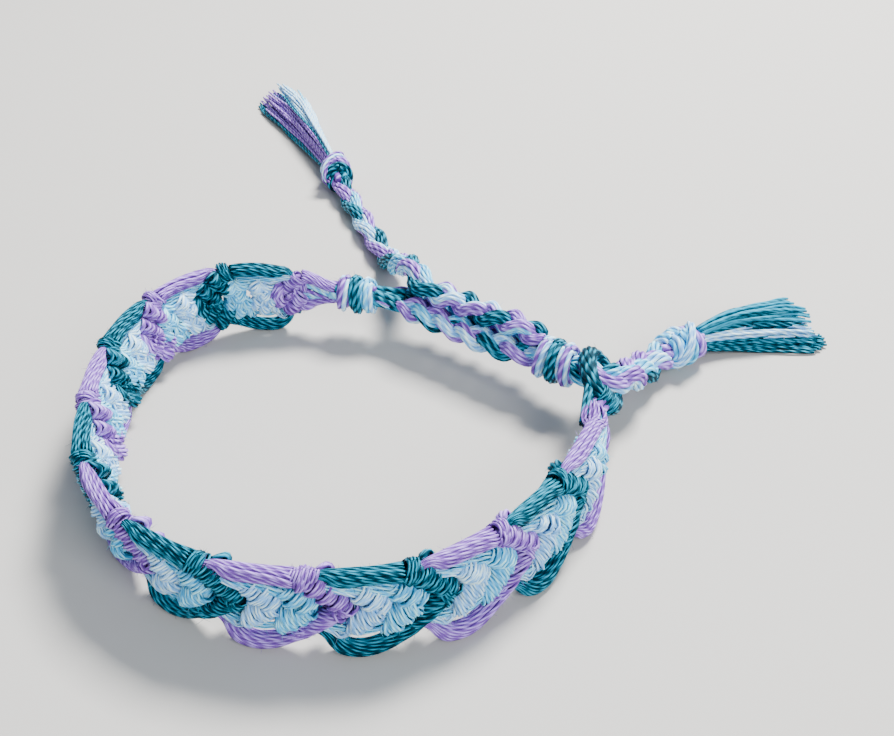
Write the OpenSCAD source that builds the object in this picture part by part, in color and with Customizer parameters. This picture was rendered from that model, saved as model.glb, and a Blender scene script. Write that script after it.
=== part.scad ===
// Friendship bracelet knotted from embroidery floss: a chevron band that stands on its
// edge as an open ring, closed by two braided ties that end in knots and tassels.
// Lengths are in millimetres. The ring stands on the plane z = 0, left is -X, the front is -Y.

/* [Ring] */
// Size of the ring from left to right, at the foot of the band
ring_w = 52; // [46:0.5:60]
// Size of the ring from front to back, at the foot of the band
ring_d = 52; // [46:0.5:60]
// How far the ring leans to the left from its foot to its top edge
lean_left = 1.8; // [0:0.1:2.5]

/* [Band] */
// Height of the band over the floats of its two edges
band_h = 9.6; // [9:0.1:11.5]
// Thickness of a knotted row, through the band
row_t = 2.1; // [1.6:0.1:2.8]
// Width of the floating bundles along the edges
float_w = 1.6; // [1.3:0.1:1.9]
// Thickness of the floating bundles, through the band
float_t = 1.6; // [1.2:0.1:2.4]
// How far the bottom floats hang below the knots that hold them
float_sag = 2; // [1.6:0.1:2.3]
// How far the bottom floats splay out from the wall
float_splay = 0.5; // [0:0.1:1]
// How far the point of a chevron runs ahead of its edge knots
chevron_run = 3.2; // [2.9:0.1:3.5]
// Clear gap between neighbouring rows
row_gap = 0.2; // [0.15:0.01:0.4]
// Length of the first taper, from the gather knot to the first edge knots
start_taper = 4.4; // [4:0.1:6]
// Length of the last taper with its neck, from the last edge knots to the loop
end_taper = 16.6; // [15.5:0.1:18]
// Length of the wrapped neck at the end of the last taper
neck_len = 4; // [3:0.1:5]
// Thickness of the wrapped neck, through the band
neck_t = 2.5; // [1.7:0.1:3]

/* [Closure] */
// Diameter of the gather knot over its wraps
gather_d = 4.9; // [4.4:0.1:5.6]
// Length of the gather knot
gather_len = 4.6; // [4:0.1:5.4]
// Thickness of the strand that forms the start loop
loop_strand_d = 1.4; // [1.1:0.05:1.5]
// Width of the start loop over its strands
loop_w = 6; // [5.8:0.1:6.6]
// Length of the start loop over its strands
loop_len = 8.6; // [8.2:0.1:9.6]
// Roll of the start loop out of the level, right strand down
loop_roll = 50; // [48:1:62]
// Diameter of the closing knot over its wraps
closing_d = 5.3; // [5:0.1:5.8]
// Length of the closing knot
closing_len = 3.3; // [2.8:0.1:3.8]

/* [Ties] */
// Diameter of a braided tie
tie_d = 2.7; // [2.3:0.1:2.9]
// Diameter of a tie where a knot or the loop squeezes it
pinch_d = 1.7; // [1.4:0.05:1.8]
// Diameter of the stopper knots near the tie ends
stopper_d = 5; // [4.4:0.1:5.6]
// Length of the stopper knots
stopper_len = 5; // [4.4:0.1:5.6]
// Length of the tassel on the short tie
tassel_a_len = 15; // [12:0.5:20]
// Length of the tassel on the long tie
tassel_b_len = 33; // [24:0.5:38]
// Width of a tassel at its cut end
tassel_w = 9.6; // [6:0.1:11]
// Clear gap where knots, loop and ties meet
seat_gap = 0.1; // [0.05:0.01:0.2]

/* [Hidden] */
TEAL_ROWS = 6;
LILAC_ROWS = 7;
ROWS = TEAL_ROWS + LILAC_ROWS;
SIDES = 8;

// Foot of the band, seen from above, from the gather knot round the back, left and front
// to the start loop. Columns: direction from the ring's middle in degrees, radius as a
// share of half the ring's size.
FOOT = [
    [102, 0.92], [111, 0.98], [130, 1.11], [147, 1.11], [165, 1.05], [186, 1.00],
    [206, 1.01], [226, 1.01], [246, 1.00], [266, 0.98], [286, 0.98], [306, 0.95],
    [326, 0.93], [346, 0.94], [363, 0.94]];
// Where the ring's middle lies from the middle of the whole outline, as shares of its size
MID_SHARE = [0.030, 0.009];

// The three ties between the gather knot and the closing knot, two side by side and one
// on top. Columns: share of the way, sideways place of the middle line, height as a share
// of the band's middle height, fullness from 0 where squeezed to 1.
BUNDLE = [
    [0.12, 1.4, 0.95, 0.5], [0.25, 1.9, 0.93, 1.0], [0.45, 1.7, 0.91, 1.0],
    [0.65, 1.3, 0.90, 1.0], [0.84, 1.0, 0.94, 0.9], [0.93, 0.8, 0.98, 0.4]];
// Short tie after the start loop, down to the surface. Columns: place right of and behind
// the loop's hold, height as above, fullness.
TIE_A_FREE = [
    [1.5, -0.3, 1.0, 0.0], [2.8, 0.7, 0.90, 0.3], [3.7, 2.4, 0.73, 1.0],
    [4.9, 4.5, 0.55, 1.0], [6.3, 6.4, 0.45, 1.0], [7.7, 8.0, 0.41, 0.9],
    [8.4, 8.7, 0.42, 0.5]];
// Long tie after the bundle, over the outward tie and down to the surface. Columns: place
// right of and behind the gather knot's far face, height as above, fullness.
TIE_B_FREE = [
    [4.9, 0.9, 1.46, 1.0], [4.0, 3.5, 1.36, 1.0], [3.2, 6.8, 1.06, 1.0],
    [2.3, 10.2, 0.72, 1.0], [1.3, 13.6, 0.42, 1.0], [0.1, 17.2, 0.25, 1.0],
    [-1.4, 21.2, 0.25, 1.0], [-3.1, 25.8, 0.25, 1.0], [-4.8, 30.4, 0.25, 1.0],
    [-6.3, 34.6, 0.27, 1.0], [-7.4, 37.6, 0.36, 0.6]];

// Foot curve, its running length and the spacing of the chevrons

function bend(p0, p1, p2, p3, t) =
    0.5 * ((2 * p1) + (p2 - p0) * t + (2 * p0 - 5 * p1 + 4 * p2 - p3) * t * t
           + (3 * p1 - p0 - 3 * p2 + p3) * t * t * t);

function polar(row) = [
    (MID_SHARE.x + row[1] / 2 * cos(row[0])) * ring_w,
    (MID_SHARE.y + row[1] / 2 * sin(row[0])) * ring_d];

STEPS = 8;
foot_pts = [for (row = FOOT) polar(row)];
last = len(foot_pts) - 1;
foot = concat(
    [for (i = [0:last - 1], k = [0:STEPS - 1])
        bend(foot_pts[max(i - 1, 0)], foot_pts[i], foot_pts[i + 1],
             foot_pts[min(i + 2, last)], k / STEPS)],
    [foot_pts[last]]);
run = [for (i = 0, s = 0; i < len(foot);
            s = s + (i < len(foot) - 1 ? norm(foot[i + 1] - foot[i]) : 0), i = i + 1) s];
run_x = [for (i = [0:len(foot) - 1]) [run[i], foot[i].x]];
run_y = [for (i = [0:len(foot) - 1]) [run[i], foot[i].y]];
band_len = run[len(run) - 1];
pitch = (band_len - start_taper - end_taper) / (ROWS - 2);

TANGENT_STEP = 0.6;
function on_foot(u) = [lookup(u, run_x), lookup(u, run_y)];
function unit(v) = v / norm(v);
function along(u) =
    let (c = min(max(u, TANGENT_STEP), band_len - TANGENT_STEP))
    unit(on_foot(c + TANGENT_STEP) - on_foot(c - TANGENT_STEP));
function foot_at(u) =
    on_foot(u) + along(u) * (u < 0 ? u : u > band_len ? u - band_len : 0);

// A point of the wall: u along the foot, z up the wall, w outwards through it
function wall(u, z, w) =
    let (t = along(u), out = [t.y, -t.x], lean = -lean_left * out.x * z / band_h,
         p = foot_at(u) + (w + lean) * out)
    [p.x, p.y, z];

// Edge knot number k, counted along the foot; 0 is the gather knot
function edge_knot(k) =
    k == 0 ? 0 : k == ROWS ? band_len : start_taper + (k - 1) * pitch;

// Heights up the wall, with the share of the full height that a chevron has reached
top_knot_z = band_h - float_w / 2 - 0.3;
low_knot_z = float_w / 2 + float_sag;
mid_z = (top_knot_z + low_knot_z) / 2;
rise = top_knot_z - mid_z;
FIRST_HEIGHT = 0.68;
function height(k) = k == 1 ? FIRST_HEIGHT : 1;
function tip(k) = edge_knot(k) + chevron_run * height(k);
row_step = pitch / 3;
row_w = row_step * sin(atan(rise / chevron_run)) - row_gap;

// Tube along a list of stations, each [u, z, w, width, thickness], laid out in the wall.
// Rings are mitred, so a sharp turn keeps its width.
function turn2(s, i) =
    let (n = len(s) - 1,
         a = i > 0 ? unit([s[i][0] - s[i - 1][0], s[i][1] - s[i - 1][1]]) : undef,
         b = i < n ? unit([s[i + 1][0] - s[i][0], s[i + 1][1] - s[i][1]]) : undef,
         t = a == undef ? b : b == undef ? a : unit(a + b),
         m = a == undef || b == undef ? 1 : 1 / max(t * a, 0.5))
    [t, m];

function wall_rings(s) = [for (i = [0:len(s) - 1], k = [0:SIDES - 1])
    let (tm = turn2(s, i), t = tm[0], q = 360 * k / SIDES,
         across = cos(q) * s[i][3] / 2 * tm[1], deep = sin(q) * s[i][4] / 2)
    wall(s[i][0] - t.y * across, s[i][1] + t.x * across, s[i][2] + deep)];

function ring_faces(rings) = concat(
    [[for (k = [0:SIDES - 1]) k]],
    [for (i = [0:rings - 2], k = [0:SIDES - 1])
        let (a = i * SIDES + k, b = i * SIDES + (k + 1) % SIDES)
        [a, a + SIDES, b + SIDES, b]],
    [[for (k = [SIDES - 1:-1:0]) (rings - 1) * SIDES + k]]);

module wall_tube(stations) {
    polyhedron(wall_rings(stations), ring_faces(len(stations)), convexity = 8);
}

// Upper half of a chevron, then its lower half read backwards
function both(upper, lower) = concat(upper, [for (i = [len(lower) - 1:-1:0]) lower[i]]);

// Floats start thin, tucked in behind the row before them
TUCK = 1.35;
TUCK_W = 0.75;
TUCK_Z = 0.62;
tip_cut = 0.45;

// Full chevron between edge knots k - 1 and k: a float along the top edge, the knotted
// arms and point, and a float along the bottom edge
function chevron(k) =
    let (a = edge_knot(k - 1), b = edge_knot(k), p = b - a, high = band_h - float_w / 2,
         low = float_w / 2, e = rise * (1 - height(k - 1)))
    both(
        [[a + TUCK, top_knot_z + TUCK_Z - e, 0, TUCK_W, float_t * 0.6],
         [a + 0.3 * p, high - 0.05 - e * 0.5, 0, float_w, float_t],
         [a + 0.5 * p, high - e * 0.15, 0, float_w, float_t],
         [a + 0.7 * p, high, 0, float_w, float_t],
         [b - 0.9, high - 0.1, 0, float_w * 0.95, row_t],
         [b + 0.15, top_knot_z - 0.15, 0, row_w, row_t],
         [b + chevron_run / 2, mid_z + rise / 2, 0, row_w, row_t],
         [tip(k) - tip_cut, mid_z + tip_cut, 0, row_w, row_t]],
        [[a + TUCK * 0.85, low_knot_z - TUCK_Z * 1.4 + e, 0, TUCK_W, float_t * 0.6],
         [a + 0.25 * p, low + 0.35 + e * 0.5, float_splay * 0.7, float_w * 0.95, float_t],
         [a + 0.37 * p, low, float_splay, float_w, float_t],
         [a + 0.52 * p, low, float_splay, float_w, float_t],
         [a + 0.68 * p, low + 0.4, float_splay * 0.7, float_w, float_t],
         [b - 1.5, low_knot_z - 0.8, float_splay * 0.2, float_w * 0.95, row_t],
         [b - 0.2, low_knot_z - 0.05, 0, row_w, row_t],
         [b + chevron_run / 2, mid_z - rise / 2, 0, row_w, row_t],
         [tip(k) - tip_cut, mid_z - tip_cut, 0, row_w, row_t]]);

// First chevron: its floats leave the gather knot side by side and spread
function first_chevron() =
    let (b = edge_knot(1), s = float_w * 0.45, r = rise * height(1))
    both(
        [[seat_gap, mid_z + s, 0, float_w * 0.8, float_t * 0.9],
         [b * 0.35, mid_z + s + r * 0.15, 0, float_w * 0.8, float_t],
         [b * 0.7, mid_z + r * 0.82, 0, float_w * 0.85, float_t],
         [b - 0.1, mid_z + r, 0, row_w * 0.9, row_t],
         [tip(1) - tip_cut, mid_z + tip_cut, 0, row_w, row_t]],
        [[seat_gap, mid_z - s, 0, float_w * 0.8, float_t * 0.9],
         [b * 0.35, mid_z - s - r * 0.15, 0, float_w * 0.8, float_t],
         [b * 0.7, mid_z - r * 0.82, 0, float_w * 0.85, float_t],
         [b - 0.1, mid_z - r, 0, row_w * 0.9, row_t],
         [tip(1) - tip_cut, mid_z - tip_cut, 0, row_w, row_t]]);

// Last chevron: its floats run together into the wrapped neck that carries the loop
function last_chevron() =
    let (a = edge_knot(ROWS - 1), b = band_len - seat_gap, neck = b - neck_len,
         p = neck - a, high = band_h - float_w / 2, low = float_w / 2, s = float_w * 0.42,
         end = b - float_w * 0.4)
    both(
        [[a + TUCK, top_knot_z + TUCK_Z, 0, TUCK_W, float_t * 0.6],
         [a + 0.3 * p, high - 0.1, 0, float_w, float_t],
         [a + 0.6 * p, high - 0.4, 0, float_w, float_t],
         [a + 0.84 * p, mid_z + rise * 0.68, 0, float_w, float_t],
         [neck, mid_z + s + 0.3, 0, float_w * 0.85, neck_t],
         [neck + neck_len * 0.45, mid_z + s, 0, float_w * 0.8, neck_t],
         [end, mid_z + s, 0, float_w * 0.8, float_t]],
        [[a + TUCK * 0.85, low_knot_z - TUCK_Z * 1.4, 0, TUCK_W, float_t * 0.6],
         [a + 0.2 * p, low + 0.3, float_splay * 0.7, float_w, float_t],
         [a + 0.35 * p, low + 0.1, float_splay * 0.7, float_w, float_t],
         [a + 0.62 * p, low + 0.9, 0, float_w, float_t],
         [a + 0.84 * p, mid_z - rise * 0.74, 0, float_w, float_t],
         [neck, mid_z - s - 0.3, 0, float_w * 0.85, neck_t],
         [neck + neck_len * 0.45, mid_z - s, 0, float_w * 0.8, neck_t],
         [end, mid_z - s, 0, float_w * 0.8, float_t]]);

// Pale row: a short V with its point at u; its arms reach up and down from the middle
function pale_row(u, up, down, w = row_w) =
    let (e = chevron_run / rise, cut = tip_cut * w / row_w)
    [[u - up * e, mid_z + up, 0, w * 0.9, row_t * 0.9],
     [u - max(up * e * 0.55, cut * 1.3), mid_z + max(up * 0.55, cut * 1.2), 0, w, row_t],
     [u - cut, mid_z + cut, 0, w, row_t],
     [u - cut, mid_z - cut, 0, w, row_t],
     [u - max(down * e * 0.55, cut * 1.3), mid_z - max(down * 0.55, cut * 1.2), 0, w, row_t],
     [u - down * e, mid_z - down, 0, w * 0.9, row_t * 0.9]];

// How far the pale arms may reach before they meet the floats
reach_up = (band_h - float_w) - mid_z - row_w * 0.45 * cos(atan(rise / chevron_run)) - row_gap - 0.05;
reach_down = rise * 0.8;

// Pale row number j of the unit that chevron k closes, one and two thirds of the way
// from the point before it
function pale(k, j) =
    let (u = tip(k - 1) + (tip(k) - tip(k - 1)) * j / 3,
         f = k == 2 ? height(1) + (1 - height(1)) * j / 3 : 1)
    pale_row(u, reach_up * f, reach_down * f);

module teal_chevron(i) {
    color("teal") wall_tube(chevron(2 * i));
}

module lilac_chevron(i) {
    color("plum")
        wall_tube(i == 1 ? first_chevron() : i == LILAC_ROWS ? last_chevron()
                                           : chevron(2 * i - 1));
}

// The pale row next to the chevron of its own unit; the last unit has no point to lean on
module aqua_row(k) {
    color("paleturquoise")
        wall_tube(
            k == ROWS ? pale_row(tip(ROWS - 1) + 1.9 * row_step, reach_up * 0.8,
                                   reach_down * 0.5, row_w * 0.75)
            : pale(k, 2));
}

// The pale row next to the chevron of the unit before
module white_row(k) {
    color("azure")
        wall_tube(k == ROWS ? pale_row(tip(ROWS - 1) + row_step, reach_up * 0.9, reach_down * 0.9)
                            : pale(k, 1));
}

// Wraps of a knot around its core, lying along X from x = 0; a bore passes a tie through
module wraps(d, length, count, bore_d) {
    strand_r = length / count / 2;
    core_r = d / 2 - strand_r;
    difference() {
        union() {
            rotate([0, 90, 0]) translate([0, 0, strand_r * 0.5])
                cylinder(r = core_r, h = length - strand_r, $fn = 32);
            for (i = [0:count - 1])
                translate([strand_r * (2 * i + 1), 0, 0]) rotate([0, 90, 0])
                    rotate_extrude($fn = 32) translate([core_r, 0])
                        circle(r = strand_r, $fn = 16);
        }
        if (bore_d > 0)
            rotate([0, 90, 0]) translate([0, 0, -1])
                cylinder(d = bore_d, h = length + 2, $fn = 32);
    }
}

function heading(v) = atan2(v.y, v.x);

// The gather knot stands on the band's first end and points along the closure
module gather_knot() {
    color("lightblue")
        translate(wall(-seat_gap, mid_z, 0))
            rotate([0, 0, heading(-along(0))])
                wraps(gather_d, gather_len, 3, 0);
}

// The start loop: two straight strands and two round ends, with a collar on the neck
module start_loop() {
    strand_r = loop_strand_d / 2;
    bow_r = loop_w / 2 - strand_r;
    straight = loop_len - loop_w;
    collar = strand_r * 1.6;
    color("teal")
        translate(wall(band_len + seat_gap, mid_z, 0))
            rotate([0, 0, heading(along(band_len))]) rotate([loop_roll, 0, 0])
                union() {
                    rotate([0, 90, 0]) cylinder(r = strand_r * 1.25, h = collar, $fn = 32);
                    translate([loop_w / 2, 0, 0]) rotate([0, 0, 90])
                        rotate_extrude(angle = 180, $fn = 32) translate([bow_r, 0])
                            circle(r = strand_r, $fn = 16);
                    translate([loop_w / 2 + straight, 0, 0]) rotate([0, 0, -90])
                        rotate_extrude(angle = 180, $fn = 32) translate([bow_r, 0])
                            circle(r = strand_r, $fn = 16);
                    for (side = [-1, 1])
                        translate([loop_w / 2, side * bow_r, 0]) rotate([0, 90, 0])
                            cylinder(r = strand_r, h = straight, $fn = 16);
                }
}

// The closure's frame: the gather knot's far face, the loop's hold on the short tie, and
// the line between them, on which the closing knot sits next to the loop
LOOP_CLEAR = 3.7;
HOLD_BACK = 0.7;
gather_axis = -along(0);
gather_face = foot_at(-gather_len - 2 * seat_gap);
loop_hold = foot_at(band_len + seat_gap + loop_len - loop_w / 2 - HOLD_BACK);
chord = unit(loop_hold - gather_face);
closing_face = loop_hold - chord * (LOOP_CLEAR + closing_len);

module closing_knot() {
    color("mediumpurple")
        translate([closing_face.x, closing_face.y, mid_z]) rotate([0, 0, heading(chord)])
            wraps(closing_d, closing_len, 3, pinch_d + 2 * seat_gap);
}

function left_of(v) = [-v.y, v.x];
function at_height(p, share) = [p.x, p.y, max(share * mid_z, tie_d / 2)];
function fullness(f) = pinch_d + (tie_d - pinch_d) * f;

// Stations of the ties, each [point, diameter]. In the bundle, side is -1 for the short
// tie, 1 for the outward tie and 0 for the one that lies in the groove on top of them.
GROOVE = 0.87;
function apart(d) = d * 0.53 + seat_gap / 2;
function bundle_at(row, side) =
    let (d = fullness(row[3]),
         p = gather_face + (closing_face - gather_face) * row[0]
             + left_of(chord) * (row[1] + side * apart(d)))
    [at_height(p, row[2]) + [0, 0, side == 0 ? GROOVE * 2 * apart(d) : 0], d];
function gather_end(lead, side) =
    let (d = fullness(lead * 0.3),
         p = gather_face + gather_axis * (seat_gap + lead) + left_of(gather_axis) * side * apart(d))
    [at_height(p, 1), d];
function closing_end(side, up) =
    let (p = closing_face - chord * 2 * seat_gap + left_of(chord) * side * 2 * apart(pinch_d))
    [at_height(p, 1) + [0, 0, up * GROOVE * 2 * apart(pinch_d)], pinch_d];
function free_at(from, row) = [at_height(from + [row[0], row[1]], row[2]), fullness(row[3])];

tie_a_route = concat(
    [for (lead = [0, 1.2]) gather_end(lead, -1)],
    [for (row = BUNDLE) bundle_at(row, -1)],
    [closing_end(0, 0)],
    [[at_height(closing_face + chord * (closing_len + seat_gap), 1), pinch_d]],
    [[at_height(loop_hold, 1), pinch_d]],
    [for (row = TIE_A_FREE) free_at(loop_hold, row)]);
tie_b_outward_route = concat(
    [for (lead = [0, 1.2]) gather_end(lead, 1)],
    [for (row = BUNDLE) bundle_at(row, 1)],
    [closing_end(1, 0)]);
tie_b_route = concat(
    [closing_end(0.5, 1)],
    [for (i = [len(BUNDLE) - 1:-1:1]) bundle_at(BUNDLE[i], 0)],
    [for (row = TIE_B_FREE) free_at(gather_face, row)]);

// Tube along stations in space
function flow(s, i) = unit(s[min(i + 1, len(s) - 1)][0] - s[max(i - 1, 0)][0]);
function cord_rings(s) = [for (i = [0:len(s) - 1], k = [0:SIDES - 1])
    let (t = flow(s, i), side = unit(cross(t, [0, 0, 1])), up = cross(t, side),
         q = 360 * k / SIDES)
    s[i][0] + (side * cos(q) + up * sin(q)) * s[i][1] / 2];

module cord_tube(s) {
    polyhedron(cord_rings(s), ring_faces(len(s)), convexity = 6);
}

module tie_a() {
    color("lavender") cord_tube(tie_a_route);
}

module tie_b_outward() {
    color("lavender") cord_tube(tie_b_outward_route);
}

module tie_b() {
    color("lavender") cord_tube(tie_b_route);
}

// Overhand knot that stops a tie at the last station of its route
STOPPER_A_HEADING = 33;
STOPPER_B_HEADING = 109;
module at_end(route, turn) {
    e = route[len(route) - 1][0];
    translate([e.x, e.y, 0]) rotate([0, 0, turn]) translate([2 * seat_gap, 0, 0]) children();
}

module stopper(route, turn) {
    at_end(route, turn) translate([0, 0, stopper_d / 2]) wraps(stopper_d, stopper_len, 3, 0);
}

module stopper_knot_a() {
    color("paleturquoise") stopper(tie_a_route, STOPPER_A_HEADING);
}

module stopper_knot_b() {
    color("plum") stopper(tie_b_route, STOPPER_B_HEADING);
}

// Locks of a tassel. Columns: sideways place and height of the cut end as shares of the
// tassel's width, and length as a share of the tassel's length. At the root the places are
// shares of the root's width, and of its height about the middle layer.
ROOT_W = 1.6;
ROOT_H = 6;
MIDDLE_LAYER = 0.18;
LOCKS = [
    [-0.42, 0.09, 0.94], [-0.21, 0.09, 1.00], [0.00, 0.09, 0.97], [0.21, 0.09, 1.00],
    [0.42, 0.09, 0.95], [-0.30, 0.27, 0.92], [-0.08, 0.31, 0.99], [0.15, 0.30, 0.95],
    [0.35, 0.26, 0.90], [0.04, 0.47, 0.92]];
LOCK_SIDES = 6;
LOCK_STEPS = [0, 0.25, 0.5, 0.75, 1];
function lock_rings(length, bow, lock) = [for (s = LOCK_STEPS, k = [0:LOCK_SIDES - 1])
    let (q = 360 * k / LOCK_SIDES,
         spread = s * (2 - s),
         r = tassel_w * (0.075 + 0.02 * s),
         root_z = stopper_d / 2 + (lock[1] - MIDDLE_LAYER) * ROOT_H,
         tip_z = max(lock[1] * tassel_w, r),
         drop = min(1, s * 1.9),
         c = [s * length * lock[2],
              lock[0] * (tassel_w * spread + ROOT_W * (1 - s)) + bow * s * s,
              root_z + (tip_z - root_z) * drop])
    c + [0, r * cos(q), r * sin(q)]];
module lock_tube(length, bow, lock) {
    n = LOCK_SIDES;
    m = len(LOCK_STEPS) - 1;
    polyhedron(
        lock_rings(length, bow, lock),
        concat([[for (k = [0:n - 1]) k]],
               [for (i = [0:m - 1], k = [0:n - 1])
                   [i * n + k, i * n + n + k, i * n + n + (k + 1) % n, i * n + (k + 1) % n]],
               [[for (k = [n - 1:-1:0]) m * n + k]]),
        convexity = 4);
}

// A tassel behind its stopper knot; bow carries its cut end sideways
HEAD_LEN = 1.6;
module tassel(route, turn, length, bow) {
    at_end(route, turn) translate([stopper_len + seat_gap, 0, 0]) {
        translate([0, 0, stopper_d / 2]) rotate([0, 90, 0])
            cylinder(r1 = stopper_d * 0.3, r2 = stopper_d * 0.28, h = HEAD_LEN, $fn = 12);
        for (lock = LOCKS) lock_tube(length, bow, lock);
    }
}

TASSEL_A_BOW = -2.5;
TASSEL_B_BOW = 1.2;
module tassel_a() {
    color("darkcyan") tassel(tie_a_route, STOPPER_A_HEADING, tassel_a_len, TASSEL_A_BOW);
}

module tassel_b() {
    color("thistle") tassel(tie_b_route, STOPPER_B_HEADING, tassel_b_len, TASSEL_B_BOW);
}

for (i = [1:TEAL_ROWS]) teal_chevron(i);
for (i = [1:LILAC_ROWS]) lilac_chevron(i);
for (i = [2:ROWS]) aqua_row(i);
for (i = [2:ROWS]) white_row(i);
gather_knot();
start_loop();
closing_knot();
tie_a();
tie_b_outward();
tie_b();
stopper_knot_a();
stopper_knot_b();
tassel_a();
tassel_b();
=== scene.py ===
import math

import bpy
import numpy as np
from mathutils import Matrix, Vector


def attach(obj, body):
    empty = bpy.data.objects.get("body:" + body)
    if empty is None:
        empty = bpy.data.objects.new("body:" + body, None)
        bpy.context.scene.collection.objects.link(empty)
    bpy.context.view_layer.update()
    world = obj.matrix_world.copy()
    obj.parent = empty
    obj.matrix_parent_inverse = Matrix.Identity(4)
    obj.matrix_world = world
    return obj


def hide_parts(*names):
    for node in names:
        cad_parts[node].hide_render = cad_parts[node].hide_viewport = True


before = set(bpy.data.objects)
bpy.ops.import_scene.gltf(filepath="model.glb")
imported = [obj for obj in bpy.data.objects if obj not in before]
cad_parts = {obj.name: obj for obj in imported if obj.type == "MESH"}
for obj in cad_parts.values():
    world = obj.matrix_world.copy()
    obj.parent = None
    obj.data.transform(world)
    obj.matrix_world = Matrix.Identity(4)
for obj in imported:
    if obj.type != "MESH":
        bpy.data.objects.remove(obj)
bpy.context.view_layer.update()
MM = 0.001


# Camera, floor and light
# The bracelet stands on a plain pale floor and is seen from close by, a little above it.
# One soft light comes from behind and the right, a weaker one from the front.
CAMERA_PLACE, CAMERA_PITCH, LENS = (9.75, -85.41, 74), 36.1, 43.05
FLOOR_HALF = 1.5

camera_data = bpy.data.cameras.new("camera")
camera_data.sensor_width = 36
camera_data.lens = LENS
camera_data.clip_start = 0.002
camera_data.clip_end = 20
camera = bpy.data.objects.new("camera", camera_data)
bpy.context.scene.collection.objects.link(camera)
camera.location = [c * MM for c in CAMERA_PLACE]
camera.rotation_euler = (math.radians(90 - CAMERA_PITCH), 0, 0)
bpy.context.scene.camera = camera

floor_mesh = bpy.data.meshes.new("floor")
floor_mesh.from_pydata(
    [(x * FLOOR_HALF, y * FLOOR_HALF, 0) for x, y in ((-1, -1), (1, -1), (1, 1), (-1, 1))],
    [], [(0, 1, 2, 3)])
floor = bpy.data.objects.new("floor", floor_mesh)
bpy.context.scene.collection.objects.link(floor)
floor_paint = bpy.data.materials.new("pale floor")
floor_paint.use_nodes = True
floor_shader = floor_paint.node_tree.nodes["Principled BSDF"]
floor_shader.inputs["Base Color"].default_value = (0.45, 0.435, 0.41, 1)
floor_shader.inputs["Roughness"].default_value = 0.75
floor_mesh.materials.append(floor_paint)


def soft_light(name, watts, size, place, target, tint):
    """A square soft light at place, turned so that it faces target."""
    data = bpy.data.lights.new(name, "AREA")
    data.energy = watts
    data.size = size
    data.color = tint
    light = bpy.data.objects.new(name, data)
    bpy.context.scene.collection.objects.link(light)
    light.location = place
    away = light.location - Vector(target)
    light.rotation_euler = away.to_track_quat("Z", "Y").to_euler()


soft_light("window light", 10.2, 0.16, (0.16, 0.26, 0.42), (0, 0.02, 0), (1, 0.99, 0.97))
soft_light("front light", 3.9, 0.3, (0.30, -0.40, 0.36), (0, 0, 0), (0.96, 0.98, 1))
world = bpy.data.worlds.new("room")
bpy.context.scene.world = world
world.use_nodes = True
world.node_tree.nodes["Background"].inputs["Color"].default_value = (0.70, 0.82, 1.0, 1)
world.node_tree.nodes["Background"].inputs["Strength"].default_value = 0.58


# Braided ties
# Two ties of embroidery floss, each plaited from three legs of ten threads. One turns back
# at the loop and comes out over the other, so three braids lie together across the gap.
# Sizes are in millimetres, as in the solids' source.
RING_W, RING_D, LEAN_LEFT, BAND_H = 52, 52, 1.8, 9.6
FLOAT_W, FLOAT_SAG, TOP_INSET = 1.6, 2, 0.3
MID_SHARE = np.array([0.030, 0.009])
TANGENT_STEP = 0.6
# Foot of the band: direction from the ring's middle in degrees, share of half the ring's size
FOOT = np.array([
    [102, 0.92], [111, 0.98], [130, 1.11], [147, 1.11], [165, 1.05], [186, 1.00],
    [206, 1.01], [226, 1.01], [246, 1.00], [266, 0.98], [286, 0.98], [306, 0.95],
    [326, 0.93], [346, 0.94], [363, 0.94]])


def unit(v):
    """v / |v|, along the last axis."""
    return v / np.maximum(np.linalg.norm(v, axis=-1, keepdims=True), 1e-9)


def bend(points, per_span=8):
    """Smooth line through points with its ends doubled:
    p(t) = (2 p1 + (p2 - p0) t + (2 p0 - 5 p1 + 4 p2 - p3) t^2 + (3 p1 - p0 - 3 p2 + p3) t^3)
    / 2, for t from 0 to 1 between p1 and p2."""
    p = np.asarray(points, float)
    i = np.arange(len(p) - 1)
    p0, p1, p2, p3 = (q[:, None] for q in (
        p[np.maximum(i - 1, 0)], p[i], p[i + 1], p[np.minimum(i + 2, len(p) - 1)]))
    t = (np.arange(per_span) / per_span)[None, :, None]
    spans = 0.5 * (2 * p1 + (p2 - p0) * t + (2 * p0 - 5 * p1 + 4 * p2 - p3) * t ** 2
                   + (3 * p1 - p0 - 3 * p2 + p3) * t ** 3)
    return np.vstack([spans.reshape(-1, p.shape[1]), p[-1:]])


def even(line, step, space=3):
    """The same line with a station about every step of its running length, and the running
    length of each. The first columns, as many as space, are the place."""
    run = np.r_[0, np.cumsum(np.linalg.norm(np.diff(line[:, :space], axis=0), axis=1))]
    at = np.linspace(0, run[-1], max(int(run[-1] / step), 3) + 1)
    return np.stack([np.interp(at, run, column) for column in line.T], 1), at


way_round = np.radians(FOOT[:, :1])
foot = bend((MID_SHARE + FOOT[:, 1:] / 2 * np.hstack([np.cos(way_round), np.sin(way_round)]))
            * [RING_W, RING_D])
foot_run = np.r_[0, np.cumsum(np.linalg.norm(np.diff(foot, axis=0), axis=1))]
BAND_LEN = foot_run[-1]


def on_foot(u):
    """Point of the foot line at running length u."""
    return np.stack([np.interp(u, foot_run, column) for column in foot.T], -1)


def along(u):
    """Direction of the foot line at u, from the points a tangent step before and after it."""
    c = np.clip(u, TANGENT_STEP, BAND_LEN - TANGENT_STEP)
    return unit(on_foot(c + TANGENT_STEP) - on_foot(c - TANGENT_STEP))


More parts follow.
